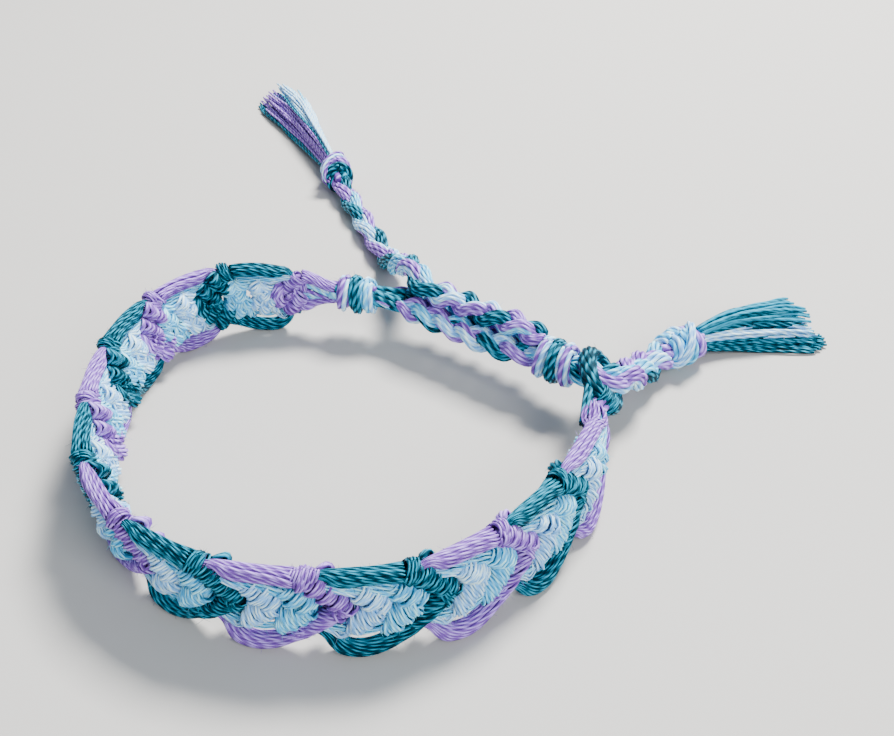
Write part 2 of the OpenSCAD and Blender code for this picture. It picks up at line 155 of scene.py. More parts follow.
def wall(u, z, w):
    """Point of the band's wall: u along its foot, z up, w outwards; the wall leans left."""
    u, z, w = np.broadcast_arrays(u, z, w)
    t = along(u)
    out = np.stack([t[..., 1], -t[..., 0]], -1)
    past = np.minimum(u, 0) + np.maximum(u - BAND_LEN, 0)
    side = w - LEAN_LEFT * out[..., 0] * z / BAND_H
    flat = on_foot(u) + t * past[..., None] + out * side[..., None]
    return np.concatenate([flat, z[..., None]], -1)


TOP_KNOT_Z = BAND_H - FLOAT_W / 2 - TOP_INSET
LOW_KNOT_Z = FLOAT_W / 2 + FLOAT_SAG
MID_Z = (TOP_KNOT_Z + LOW_KNOT_Z) / 2
GATHER_LEN, CLOSING_LEN, LOOP_LEN, LOOP_W = 4.6, 3.3, 8.6, 6
LOOP_CLEAR, HOLD_BACK, SEAT = 3.7, 0.7, 0.1
TIE_D, PINCH_D, GROOVE = 2.7, 1.7, 0.87

gather_axis = -along(0)
gather_face = on_foot(0) + gather_axis * (GATHER_LEN + 2 * SEAT)
loop_axis = along(BAND_LEN)
loop_hold = on_foot(BAND_LEN) + loop_axis * (SEAT + LOOP_LEN - LOOP_W / 2 - HOLD_BACK)
chord = unit(loop_hold - gather_face)
closing_face = loop_hold - chord * (LOOP_CLEAR + CLOSING_LEN)


def left_of(v):
    """v turned a quarter to the left, seen from above."""
    return np.array([-v[1], v[0]])


def apart(d):
    """Half the distance of two ties of diameter d that lie side by side."""
    return d * 0.53 + SEAT / 2


# Share of the way, sideways place, height as a share of the band's middle height, fullness
BUNDLE = [
    [0.12, 1.4, 0.95, 0.5], [0.25, 1.9, 0.93, 1.0], [0.45, 1.7, 0.91, 1.0],
    [0.65, 1.3, 0.90, 1.0], [0.84, 1.0, 0.94, 0.9], [0.93, 0.8, 0.98, 0.4]]
# Place right of and behind the line's start, height as above, fullness
SHORT_FREE = [
    [1.5, -0.3, 1.0, 0.0], [2.8, 0.7, 0.90, 0.3], [3.7, 2.4, 0.73, 1.0],
    [4.9, 4.5, 0.55, 1.0], [6.3, 6.4, 0.45, 1.0], [7.7, 8.0, 0.41, 0.9],
    [8.4, 8.7, 0.42, 0.5]]
LONG_FREE = [
    [4.9, 0.9, 1.46, 1.0], [4.0, 3.5, 1.36, 1.0], [3.2, 6.8, 1.06, 1.0],
    [2.3, 10.2, 0.72, 1.0], [1.3, 13.6, 0.42, 1.0], [0.1, 17.2, 0.25, 1.0],
    [-1.4, 21.2, 0.25, 1.0], [-3.1, 25.8, 0.25, 1.0], [-4.8, 30.4, 0.25, 1.0],
    [-6.3, 34.6, 0.27, 1.0], [-7.4, 37.6, 0.36, 0.6]]
# How far past the gather knot the first two stations of a tie lie
GATHER_LEADS = (0, 1.2)


def station(p, share, d, lift=0.0):
    """A station of a tie: place, height as a share of the middle height, and diameter."""
    return [p[0], p[1], max(share * MID_Z, TIE_D / 2) + lift, d]


def fullness(f):
    """Diameter of a tie from 0, pinched by a knot, to 1, full."""
    return PINCH_D + (TIE_D - PINCH_D) * f


def bundled(row, side):
    """Station in the bundle: side is -1 or 1 below, 0 for the tie that lies on the two."""
    d = fullness(row[3])
    p = (gather_face + (closing_face - gather_face) * row[0]
         + left_of(chord) * (row[1] + side * apart(d)))
    return station(p, row[2], d, 0 if side else GROOVE * 2 * apart(d))


def gathered(lead, side):
    """Station where a tie leaves the gather knot; it gets fuller by 0.3 for a millimetre."""
    d = fullness(lead * 0.3)
    return station(gather_face + gather_axis * (SEAT + lead)
                   + left_of(gather_axis) * side * apart(d), 1, d)


def closing(side, up):
    """Station where a tie meets the closing knot."""
    return station(closing_face - chord * 2 * SEAT + left_of(chord) * side * 2 * apart(PINCH_D),
                   1, PINCH_D, up * GROOVE * 2 * apart(PINCH_D))


def free(start, row):
    """Station of a tie's free part."""
    return station(start + row[:2], row[2], fullness(row[3]))


short_route = np.array(
    [gathered(lead, -1) for lead in GATHER_LEADS] + [bundled(row, -1) for row in BUNDLE]
    + [closing(0, 0), station(closing_face + chord * (CLOSING_LEN + SEAT), 1, PINCH_D),
       station(loop_hold, 1, PINCH_D)]
    + [free(loop_hold, row) for row in SHORT_FREE])
outward_route = np.array(
    [gathered(lead, 1) for lead in GATHER_LEADS] + [bundled(row, 1) for row in BUNDLE]
    + [closing(1, 0)])
long_route = np.array(
    [closing(0.5, 1)] + [bundled(row, 0) for row in BUNDLE[:0:-1]]
    + [free(gather_face, row) for row in LONG_FREE])


class Wire:
    """A socket of a material that is added, multiplied and so on as in a formula."""

    def __init__(self, tree, socket):
        self.tree = tree
        self.socket = socket

    def node(self, kind, settings, values, output=0):
        """A node of that kind; its settings or ramp stops come first, then its inputs."""
        made = self.tree.nodes.new(kind)
        for key, value in settings.items():
            if key == "stops":
                while len(made.color_ramp.elements) < len(value):
                    made.color_ramp.elements.new(0.5)
                for element, (place, tint) in zip(made.color_ramp.elements, value):
                    element.position = place
                    element.color = (*tint, 1)
            else:
                setattr(made, key, value)
        for key, value in values.items():
            if isinstance(value, Wire):
                self.tree.links.new(value.socket, made.inputs[key])
            else:
                made.inputs[key].default_value = value
        return Wire(self.tree, made.outputs[output])

    def maths(self, operation, first, second=0.0):
        return self.node("ShaderNodeMath", {"operation": operation}, {0: first, 1: second})

    def __add__(self, other):
        return self.maths("ADD", self, other)

    def __sub__(self, other):
        return self.maths("SUBTRACT", self, other)

    def __rsub__(self, other):
        return self.maths("SUBTRACT", other, self)

    def __mul__(self, other):
        return self.maths("MULTIPLY", self, other)

    def __truediv__(self, other):
        return self.maths("DIVIDE", self, other)

    __radd__ = __add__
    __rmul__ = __mul__

    def sine(self):
        return self.maths("SINE", self)

    def cosine(self):
        return self.maths("COSINE", self)


# Length of thread over which its two plies change places, and how much plies, fibres,
# drift, a thread's own tone and its open side add to the light painted into its colour,
# less a fixed cut: painted highlights on the ply crests, grain and painted glints in the
# fibres, painted shade on the side that faces the bundle
LAY = 1.45
PLY_LIGHT, FIBRE_LIGHT, DRIFT_LIGHT = 0.46, 0.75, 0.30
TONE_LIGHT, SIDE_LIGHT, LIGHT_CUT = 0.26, 0.22, 0.48
# Grain of the fibres along and round a thread, and how far a thread's tone shifts it
GRAIN_ALONG, GRAIN_ROUND, TONE_SHIFT = 0.8, 2.2, 40


def floss(name, deep, body, shine, sheen):
    """Mercerised cotton floss. The thread's map runs u millimetres along and v once round.
    Two plies lie at the turn a = 2 pi (2 v - u / LAY); the ply is 0.5 + 0.5 sin a, and fine
    fibres are noise at (u, cos a, sin a), so both follow the twist and join up round it.
    Light and shade are painted into the colour: the ply's crests are painted highlights, the
    fibres add grain and painted glints, and the side of a thread that faces the bundle, where
    cos 2 pi v is -1, is painted in shade. Ply, fibres, a slow drift, the thread's own tone
    and that side add up to this painted light, and the colour goes with it from deep, the
    painted shade, over body to shine, the painted highlight. Pieces that set the tone low or
    high paint shade or light with it."""
    paint = bpy.data.materials.new(name)
    paint.use_nodes = True
    tree = paint.node_tree
    shader = tree.nodes["Principled BSDF"]
    start = Wire(tree, None)
    thread = start.node("ShaderNodeUVMap", {"uv_map": "thread"}, {})
    u = start.node("ShaderNodeSeparateXYZ", {}, {0: thread}, 0)
    v = start.node("ShaderNodeSeparateXYZ", {}, {0: thread}, 1)
    tone = start.node("ShaderNodeAttribute", {"attribute_name": "tone"}, {}, 2)
    a = (v * 2 - u / LAY) * (2 * math.pi)
    ply = a.sine() * 0.5 + 0.5
    place = start.node("ShaderNodeCombineXYZ", {}, {
        0: u * GRAIN_ALONG + tone * TONE_SHIFT, 1: a.cosine() * GRAIN_ROUND,
        2: a.sine() * GRAIN_ROUND})
    fibre = start.node("ShaderNodeTexNoise", {},
                       {"Vector": place, "Scale": 1.6, "Detail": 4, "Roughness": 0.6})
    drift = start.node("ShaderNodeTexNoise", {},
                       {"Vector": place, "Scale": 0.35, "Detail": 1})
    # Painted shade on the side of a thread that faces the bundle, painted light on its outer side
    painted_side_light = (v * (2 * math.pi)).cosine()
    # The light painted into the base colour: painted highlights and glints, painted shade
    light = (ply * ply * PLY_LIGHT + fibre * FIBRE_LIGHT + drift * DRIFT_LIGHT
             + tone * TONE_LIGHT + painted_side_light * SIDE_LIGHT - LIGHT_CUT)
    # deep is the painted shade colour, body the floss's own colour, shine the painted highlight
    colour = start.node("ShaderNodeValToRGB",
                        {"stops": [(0.04, deep), (0.40, body), (0.78, shine)]}, {0: light})
    bump = start.node("ShaderNodeBump", {}, {
        "Strength": 0.7, "Distance": 0.00009, "Height": ply * 0.7 + fibre * 0.5})
    for key, value in (("Base Color", colour), ("Roughness", 0.66 - ply * 0.20), ("Normal", bump)):
        tree.links.new(value.socket, shader.inputs[key])
    shader.inputs["Sheen Weight"].default_value = sheen
    shader.inputs["Sheen Tint"].default_value = (*shine, 1)
    shader.inputs["Sheen Roughness"].default_value = 0.4
    shader.inputs["Specular IOR Level"].default_value = 0.35
    shader.inputs["Specular Tint"].default_value = (*shine, 1)
    return paint


# Each floss: its painted shade, its own body colour, its painted highlight, its sheen
FLOSS = [
    floss("teal floss", (0.000, 0.006, 0.011), (0.000, 0.029, 0.049), (0.02, 0.30, 0.44), 0.02),
    floss("lilac floss", (0.085, 0.030, 0.190), (0.185, 0.070, 0.40), (0.52, 0.34, 0.90), 0.04),
    floss("aqua floss", (0.01, 0.18, 0.30), (0.07, 0.47, 0.85), (0.42, 0.92, 1.00), 0.06),
    floss("white floss", (0.08, 0.25, 0.48), (0.25, 0.57, 0.98), (0.72, 0.97, 1.00), 0.06)]
TEAL, LILAC, AQUA, WHITE = range(4)


def line_frame(lines, outs):
    """Along each line: its direction t, the way outs made square to it, and t x that way."""
    t = unit(np.gradient(lines, axis=1))
    square = unit(outs - (outs * t).sum(-1, keepdims=True) * t)
    return t, square, np.cross(t, square)


HAIR_LEN, HAIR_R = 0.55, 0.016


class Skein:
    """The threads of one piece, gathered as arrays until the piece is made."""

    def __init__(self, seed):
        self.chance = np.random.default_rng(seed)
        self.points, self.outs, self.flows, self.tones, self.stuffs = [], [], [], [], []
        self.corners, self.sizes, self.maps, self.face_stuffs = [], [], [], []
        self.count = 0

    def lay(self, lines, outs, radius, stuff, sides=7, tone=None, ends=0.55):
        """Tubes round thread lines, point = line + r (cos a n + sin a b), with n the way
        outs made square to the line, b = line's direction x n, and both ends closed, where
        the radius is multiplied by ends. No line sinks below its own radius, so no thread
        goes through the floor."""
        lines = np.array(lines, float)
        m, n = lines.shape[:2]
        lines[..., 2] = np.maximum(lines[..., 2], radius)
        t, square, beside = line_frame(lines, outs)
        r = np.broadcast_to(radius, (m, n)).copy()
        r[:, [0, -1]] *= ends
        a = np.arange(sides) / sides * 2 * np.pi
        way = np.cos(a)[:, None] * square[:, :, None] + np.sin(a)[:, None] * beside[:, :, None]
        points = lines[:, :, None] + r[:, :, None, None] * way
        stuff = np.broadcast_to(stuff, m)
        tone = self.chance.random(m) if tone is None else np.broadcast_to(tone, m)
        self.points.append(points.reshape(-1, 3))
        self.outs.append(way.reshape(-1, 3))
        self.flows.append(np.broadcast_to(t[:, :, None], way.shape).reshape(-1, 3))
        self.tones.append(np.repeat(tone, n * sides))
        self.stuffs.append(np.repeat(stuff, n * sides))

        i, k = (g.ravel() for g in np.indices((n - 1, sides)))
        cap = np.arange(sides)
        at = np.r_[np.stack([i, i, i + 1, i + 1], -1).ravel(), 0 * cap, 0 * cap + n - 1]
        turn = np.r_[np.stack([k, k + 1, k + 1, k], -1).ravel(), cap[::-1], cap]
        base = self.count + np.arange(m)[:, None] * n * sides
        self.corners.append((base + at * sides + turn % sides).ravel())
        self.sizes.append(np.tile(np.r_[np.full(len(i), 4), sides, sides], m))
        self.face_stuffs.append(np.repeat(stuff, len(i) + 2))
        run = np.concatenate([np.zeros((m, 1)), np.cumsum(
            np.linalg.norm(np.diff(lines, axis=1), axis=-1), axis=1)], 1)
        run = run + self.chance.random((m, 1)) * 9
        turns = np.broadcast_to(turn / sides, (m, len(turn)))
        self.maps.append(np.stack([run[:, at], turns], -1).reshape(-1, 2))
        self.count += m * n * sides

    def fuzz(self, hairs, length=HAIR_LEN, radius=HAIR_R):
        """Loose fibres: each starts on a thread and goes out from it, curls along it and
        sways, h(s) = start + L (0.8 s out + s curl + s^2 sway), for s from 0 to 1, with L
        0.35 to 1.25 of the length. Its tip is half as thick."""
        points, outs, flows = (np.concatenate(x) for x in (self.points, self.outs, self.flows))
        stuffs = np.concatenate(self.stuffs)
        pick = self.chance.integers(len(points), size=hairs)
        s = np.linspace(0, 1, 3)[None, :, None]
        far = length * (0.35 + 0.9 * self.chance.random((hairs, 1, 1)))
        curl = flows[pick][:, None] * self.chance.uniform(-0.9, 1.1, (hairs, 1, 1))
        sway = self.chance.uniform(-0.7, 0.7, (hairs, 1, 3))
        path = outs[pick][:, None] * s * 0.8 + curl * s + sway * s * s
        lines = points[pick][:, None] + far * path
        lines[..., 2] = np.maximum(lines[..., 2], radius)
        aside = np.broadcast_to([0.3, 0.2, 1.0], lines.shape)
        self.lay(lines, aside, radius * np.array([1, 1, 0.5]), stuffs[pick], sides=3,
                 tone=0.6 + 0.4 * self.chance.random(hairs), ends=1)

    def make(self, name, slot, *nodes):
        """The finished piece, in metres, riding with the bracelet in place of its solids."""
        mesh = bpy.data.meshes.new(name)
        points = np.concatenate(self.points) * MM
        corners, sizes = np.concatenate(self.corners), np.concatenate(self.sizes)
        stuffs = np.concatenate(self.face_stuffs)
        mesh.vertices.add(len(points))
        mesh.vertices.foreach_set("co", points.astype(np.float32).ravel())
        mesh.loops.add(len(corners))
        mesh.loops.foreach_set("vertex_index", corners.astype(np.int32))
        mesh.polygons.add(len(sizes))
        mesh.polygons.foreach_set("loop_start", (np.cumsum(sizes) - sizes).astype(np.int32))
        mesh.polygons.foreach_set("material_index", stuffs.astype(np.int32))
        for paint in FLOSS:
            mesh.materials.append(paint)
        thread = mesh.uv_layers.new(name="thread")
        thread.data.foreach_set("uv", np.concatenate(self.maps).astype(np.float32).ravel())
        tone = mesh.attributes.new("tone", "FLOAT", "POINT")
        tone.data.foreach_set("value", np.concatenate(self.tones).astype(np.float32))
        mesh.update(calc_edges=True)
        mesh.shade_smooth()
        mesh.validate()
        piece = bpy.data.objects.new(name, mesh)
        bpy.context.scene.collection.objects.link(piece)
        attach(piece, "root")
        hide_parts(*nodes)
        return piece


UP = np.array([0, 0, 1.0])
THREADS_A_LEG, THREAD_R, LEG_PITCH = 10, 0.24, 30
LEG_SWING, LEG_LIFT, LEG_SPREAD, FREE_SPREAD = 0.78, 0.55, 0.62, 0.2
TIGHT_PITCH, LOOSE_PITCH, LOOSEN_RUN = 9.5, 18.0, 4
NECK_RUN, NECK_FILL, BRAID_STEP, BRAID_JITTER = 5.0, 0.22, 0.33, 0.03


def braid(skein, route, legs, start, neck=0.01, free_from=math.inf, free_pitch=LOOSE_PITCH,
          free_swing=1.0):
    """Three legs cross in turn: leg k swings a sin f sideways and b sin 2f up, with
    f = 2 pi (s / pitch + k / 3) + start. Its threads lie round it and turn slowly with it.
    Swing and spread go with fill = (d / TIE_D)^0.45, and grow along the neck. Past free_from
    the pitch and the swing go over to the free part's."""
    line, s = even(bend(route), BRAID_STEP)
    centre = line[:, :3]
    fill = np.clip(line[:, 3] / TIE_D, 0, 1)[:, None] ** 0.45
    fill = fill * np.clip(NECK_FILL + (1 - NECK_FILL) * s / neck, 0, 1)[:, None]
    loose = np.clip((s - free_from) / LOOSEN_RUN, 0, 1)
    turns = np.cumsum(np.gradient(s) / (TIGHT_PITCH + (free_pitch - TIGHT_PITCH) * loose))
    fill = fill * (1 + (free_swing - 1) * loose)[:, None]
    t = unit(np.gradient(centre, axis=0))
    side = unit(np.cross(t, UP))
    up = np.cross(side, t)
    k = np.arange(3)[:, None]
    f = 2 * np.pi * (turns + k / 3) + start
    leg = centre + fill * (LEG_SWING * np.sin(f)[..., None] * side
                           + LEG_LIFT * np.sin(2 * f)[..., None] * up)
    j = np.arange(THREADS_A_LEG)[None, :, None]
    q = 2 * np.pi * (j / THREADS_A_LEG + s / LEG_PITCH + k[..., None] / 5)
    out = np.cos(q)[..., None] * side + np.sin(q)[..., None] * up
    lines = leg[:, None] + fill * LEG_SPREAD * (1 + FREE_SPREAD * loose)[:, None] * out
    lines = lines + BRAID_JITTER * skein.chance.normal(0, 1, (3, THREADS_A_LEG, 1, 3))
    n = lines.shape[2]
    skein.lay(lines.reshape(-1, n, 3), np.broadcast_to(out, lines.shape).reshape(-1, n, 3),
              THREAD_R * (fill[:, 0] ** 0.8), np.array(legs).ravel(), sides=6)
    return line


short_skein = Skein(11)
short_line = braid(
    short_skein, short_route,
    [[LILAC] * 7 + [WHITE] * 3, [TEAL] * 6 + [AQUA] * 4, [WHITE] * 4 + [LILAC] * 4 + [AQUA] * 2],
    start=0.6, neck=NECK_RUN, free_from=24, free_pitch=12, free_swing=1.2)
short_skein.fuzz(260)
short_tie = short_skein.make("short_tie_braid", "mixed_floss", "tie_a")

outward_skein = Skein(12)
braid(outward_skein, outward_route,
      [[LILAC] * 9 + [WHITE], [TEAL] * 9 + [AQUA], [AQUA] * 5 + [WHITE] * 4 + [LILAC]],
      start=2.2, neck=NECK_RUN)
outward_skein.fuzz(120)
outward_skein.make("outward_tie_braid", "mixed_floss", "tie_b_outward")

long_skein = Skein(13)
long_line = braid(
    long_skein, long_route,
    [[LILAC] * 8 + [WHITE] * 2, [TEAL] * 10, [AQUA] * 4 + [WHITE] * 3 + [LILAC] * 3],
    start=4.0, free_from=15, free_swing=0.92)
long_skein.fuzz(460)
long_tie = long_skein.make("long_tie_braid", "mixed_floss", "tie_b")


# Stopper knots
# Each tie ends in an overhand knot pulled tight. The whole bundle of threads turns round
# itself, so bands of each colour lie beside each other, and the last goes over the others.
STOPPER_D, STOPPER_LEN = 5, 5
SHORT_HEADING, LONG_HEADING = 33, 109
STRAND_R = 0.62
# How far a knot's core goes into its tie and out of its far face, and the core's radius
CORE_IN, CORE_OUT, CORE_R = 0.8, 0.5, 1.5
# Threads of a rope, their radius and the inner thread's as shares of its own, unevenness
ROPE_THREADS, ROPE_THREAD, ROPE_CORE, ROPE_JITTER = 6, 0.36, 0.7, 0.04


def rope(skein, lines, outs, colours, radius, twist=0.25):
    """Each line becomes a rope of threads round it: p = line + spread (cos q n + sin q b),
    q = 2 pi (j / threads + twist x), with a thick thread inside."""
    m, n = lines.shape[:2]
    square, beside = line_frame(lines, outs)[1:]
    thread_r = radius * ROPE_THREAD
    j = np.arange(ROPE_THREADS)[:, None]
    q = 2 * np.pi * (j / ROPE_THREADS + twist * np.linspace(0, 1, n))
    q = q + skein.chance.random((m, 1, 1)) * 6
    way = np.cos(q)[..., None] * square[:, None] + np.sin(q)[..., None] * beside[:, None]
    laid = lines[:, None] + (radius - thread_r) * way
    laid = laid + ROPE_JITTER * skein.chance.normal(0, 1, (m, ROPE_THREADS, 1, 3))
    stuff = np.array(colours).ravel()
    skein.lay(laid.reshape(-1, n, 3), way.reshape(-1, n, 3), thread_r, stuff, sides=6, ends=1)
    # The inner thread's low tone is painted shade where it shows between the rope's threads
    skein.lay(lines, square, radius * ROPE_CORE, stuff[::ROPE_THREADS], sides=8, tone=0.15)


def wound(skein, origin, axis, length, d, bands, lean=0.3, waist=0.75):
    """Wraps of a knot: band i is a ring of rope at x = length (i + 1/2) / bands, with radius
    R = (d / 2 - r) (1 - (1 - waist) e^2) for e from -1 to 1, leaning x by lean cos q. The
    rope's r is 0.54 of a band's width, so bands touch."""
    q = np.linspace(0, 2 * np.pi, 41)
    width = length / len(bands)
    i = np.arange(len(bands))[:, None]
    x = width * (i + 0.5) + lean * np.cos(q + 0.9 * i + skein.chance.random())
    e = (2 * (i + 0.5) / len(bands) - 1) * np.ones_like(q)
    r = width * 0.54
    radius = (d / 2 - r) * (1 - (1 - waist) * e ** 2)
    way = np.cos(q)[:, None] * UP + np.sin(q)[:, None] * np.cross(UP, axis)
    lines = origin + x[..., None] * axis + radius[..., None] * way
    rope(skein, lines, np.broadcast_to(way, lines.shape), bands, r)


def through(skein, start, end, colours, radius):
    """A straight bundle of threads from start to end, such as a knot's core."""
    x = np.linspace(0, 1, 8)[:, None]
    line = (start * (1 - x) + end * x)[None]
    rope(skein, line, np.broadcast_to(UP, line.shape), [colours], radius, 0.1)


def crossing(skein, origin, axis, colours, start, end):
    """The strand that locks an overhand knot. It climbs over the wraps from face to face,
    p = origin + x axis + R (cos q up + sin q side), q from start to end in degrees, with
    R = (d / 2 - 0.3 r) (1 - 0.35 (2 s - 1)^4) and x = L (0.06 + 0.88 s) for s from 0 to 1."""
    s = np.linspace(0, 1, 25)
    q = np.radians(start + (end - start) * s)[:, None]
    way = np.cos(q) * UP + np.sin(q) * np.cross(UP, axis)
    reach = (STOPPER_D / 2 - 0.3 * STRAND_R) * (1 - 0.35 * (2 * s - 1) ** 4)
    line = origin + (STOPPER_LEN * (0.06 + 0.88 * s))[:, None] * axis + reach[:, None] * way
    rope(skein, line[None], way[None], [colours], STRAND_R)


def heading(degrees):
    """Level direction at that angle from +X."""
    return np.array([math.cos(math.radians(degrees)), math.sin(math.radians(degrees)), 0.0])


def tie_end(route, way):
    """Where a stopper knot's near face sits: past the route's last station, level."""
    e = route[-1, :3]
    return np.array([e[0], e[1], STOPPER_D / 2]) + way * 2 * SEAT


def stopper(skein, route, way, wraps, core, strand, start, end):
    """A whole knot: its wraps, its core and the strand that goes over them from start to
    end in degrees round it."""
    face = tie_end(route, way)
    wound(skein, face, way, STOPPER_LEN, STOPPER_D, wraps, lean=0.5, waist=0.66)
    through(skein, route[-1, :3] - way * CORE_IN, face + way * (STOPPER_LEN + CORE_OUT), core,
            CORE_R)
    crossing(skein, face, way, strand, start, end)
    skein.fuzz(160)


short_way, long_way = heading(SHORT_HEADING), heading(LONG_HEADING)

stopper_skein = Skein(21)
stopper(stopper_skein, short_route, short_way,
        [[AQUA, WHITE] * 3, [AQUA, AQUA, WHITE] * 2, [LILAC] * 6],
        [LILAC, LILAC, WHITE] * 2, [WHITE, AQUA, WHITE] * 2, -125, 30)
short_stopper = stopper_skein.make("short_tie_stopper_knot", "aqua_floss", "stopper_knot_a")

stopper_skein = Skein(22)
stopper(stopper_skein, long_route, long_way,
        [[TEAL] * 6, [LILAC] * 6, [LILAC, LILAC, WHITE] * 2],
        [TEAL, LILAC, LILAC] * 2, [LILAC, LILAC, WHITE] * 2, 100, -50)
long_stopper = stopper_skein.make("long_tie_stopper_knot", "lilac_floss", "stopper_knot_b")


# Tassels
# Past each knot the floss is left loose and cut. It fans out, falls to the floor and keeps
# the colours in the order in which they came out of the knot.
TASSEL_W, TASSEL_ROOT_W, TASSEL_THREAD_R, TASSEL_WAVE = 9.6, 2.2, 0.17, 0.40
SHORT_TASSEL_LEN, LONG_TASSEL_LEN, RAGGED, TIP_SAG = 15, 33, 0.17, 0.28


def tassel(skein, route, way, length, colours, bow, count, width=TASSEL_W, light=0.0):
    """Loose threads: x = reach s forwards, y = place (width s^1.2 + root width (1 - s))
    + bow s^2 sideways, and the height falls from the knot's middle to the layer's height by
    s = 0.62, with soft waves. The cut is ragged, with each reach somewhat under 1, and the
    tips sag with s^3. A share of the teal threads, light, is paler."""
    origin = tie_end(route, way) + way * (STOPPER_LEN + SEAT)
    left = np.array([-way[1], way[0], 0.0])
    s = np.linspace(0, 1, 20)
    chance = skein.chance
    place = np.sort(chance.uniform(-0.5, 0.5, count))
    layer = 0.03 + 0.50 * (1 - (2 * place) ** 2) * chance.random(count)
    reach = 1 - RAGGED * chance.random(count) ** 1.5
    root = (layer - 0.2) * 5 + STOPPER_D / 2
    tip = np.maximum(layer * TASSEL_W, TASSEL_THREAD_R)
    drop = 1 - (1 - np.minimum(1, s * 1.6)) ** 2
    phase = s * chance.uniform(5, 11, (count, 1)) + chance.uniform(0, 6, (count, 1))
    wave = TASSEL_WAVE * np.sin(phase) * s
    x = reach[:, None] * length * s
    y = place[:, None] * (width * s ** 1.2 + TASSEL_ROOT_W * (1 - s)) + bow * s * s + wave
    z = root[:, None] + (tip - root)[:, None] * drop + np.abs(wave) * 0.5
    z = z * (1 - TIP_SAG * s ** 3)
    lines = origin + x[..., None] * way + y[..., None] * left + z[..., None] * UP
    lines[..., 2] -= origin[2]
    order = np.clip((place + 0.5 + chance.normal(0, 0.02, count)) * len(colours), 0,
                    len(colours) - 1).astype(int)
    stuff = np.array(colours)[order]
    paler = (stuff == TEAL) & (place > -0.25) & (chance.random(count) < light)
    # The tone runs higher here than elsewhere: painted light that lifts the loose threads out of
    # their own shade
    skein.lay(lines, np.broadcast_to(UP, lines.shape), TASSEL_THREAD_R * (1 + 0.1 * s), stuff,
              sides=5, tone=chance.uniform(0.4, 1.1, count) + 1.3 * paler, ends=0.8)


tassel_skein = Skein(31)
tassel(tassel_skein, short_route, short_way, SHORT_TASSEL_LEN,
       [TEAL] * 3 + [WHITE] * 3 + [TEAL] * 8 + [AQUA] + [TEAL] * 5 + [AQUA] + [TEAL] * 2 + [LILAC],
       bow=-2.5, count=270, light=0.6)
tassel_skein.fuzz(260)
short_tassel = tassel_skein.make("short_tie_tassel", "teal_floss", "tassel_a")

tassel_skein = Skein(32)
tassel(tassel_skein, long_route, long_way, LONG_TASSEL_LEN,
       [WHITE, WHITE, AQUA] * 3 + [TEAL] + [LILAC] * 4 + [TEAL], bow=1.2, count=190, width=8)
tassel_skein.fuzz(320)
long_tassel = tassel_skein.make("long_tie_tassel", "lilac_floss", "tassel_b")


# Gather knot
# All strings of the band are drawn together and wrapped: lilac and white next to the band,
# then teal, then pale aqua. A few teal turns bind the roots of the ties behind it.
GATHER_D, ROOT_ASIDE = 4.9, 0.45


def flat(p, z):
    """A point of the floor plan at height z."""
    return np.array([p[0], p[1], z])


gather_skein = Skein(41)
wound(gather_skein, flat(on_foot(0) + gather_axis * SEAT, MID_Z), flat(gather_axis, 0),
      GATHER_LEN, GATHER_D,
      [[LILAC, WHITE, LILAC, WHITE, LILAC, LILAC], [TEAL] * 6, [AQUA, WHITE, AQUA] * 2])
through(gather_skein, flat(on_foot(0) - gather_axis * 0.8, MID_Z), flat(gather_face, MID_Z),
        [LILAC, TEAL, AQUA] * 2, 1.3)
for shift in (-ROOT_ASIDE, ROOT_ASIDE):
    aside = left_of(gather_axis) * shift
    through(gather_skein, flat(gather_face - gather_axis * 0.5 + aside, MID_Z),
            flat(gather_face + gather_axis * 3.4 + aside * 2.2, MID_Z - 0.2), [TEAL] * 6, 1.0)
gather_skein.fuzz(160, length=0.5)
gather_skein.make("gather_knot_wraps", "aqua_floss", "gather_knot")


# Start loop
# The strings were first doubled over and wrapped with teal, which left this small round
# loop at the band's other end. The short tie goes through it.
LOOP_STRAND_D, LOOP_ROLL = 1.4, 50
LOOP_THREADS, LOOP_THREAD_R, LOOP_CORE_R = 8, 0.33, 0.6
# Turns that bind the loop's root: their radius, their rope's radius, their places across
BIND_R, BIND_ROPE_R, BIND_PLACES = 1.05, 0.34, (-0.9, -0.3, 0.3, 0.9)

loop_skein = Skein(42)
loop_out = flat(loop_axis, 0)
loop_side = (flat(left_of(loop_axis), 0) * math.cos(math.radians(LOOP_ROLL))
             + UP * math.sin(math.radians(LOOP_ROLL)))
loop_normal = np.cross(loop_out, loop_side)
loop_start = flat(on_foot(BAND_LEN) + loop_axis * SEAT, MID_Z)
bow_r, straight = LOOP_W / 2 - LOOP_STRAND_D / 2, LOOP_LEN - LOOP_W
# The strand's middle is a circle drawn out by tanh(3 cos q) along the loop's straight sides
q = np.linspace(-np.pi, np.pi, 61)
loop_x = LOOP_W / 2 + straight / 2 + np.cos(q) * bow_r + np.tanh(3 * np.cos(q)) * straight / 2
middle = (loop_start + loop_x[:, None] * loop_out
          + (np.sin(q) * bow_r)[:, None] * loop_side)
outwards = np.cross(unit(np.gradient(middle, axis=0)), loop_normal)
twist = 2 * np.pi * (np.arange(LOOP_THREADS)[:, None] / LOOP_THREADS) + 1.5 * q
way = np.cos(twist)[..., None] * outwards + np.sin(twist)[..., None] * loop_normal
# Threads and core get a low tone: painted shade that keeps the whole loop dark
loop_skein.lay(middle + 2 * LOOP_THREAD_R * way, way, LOOP_THREAD_R, TEAL,
               tone=0.5 * loop_skein.chance.random(LOOP_THREADS) - 0.4)
loop_skein.lay(middle[None], outwards[None], LOOP_CORE_R, TEAL, tone=0.1)
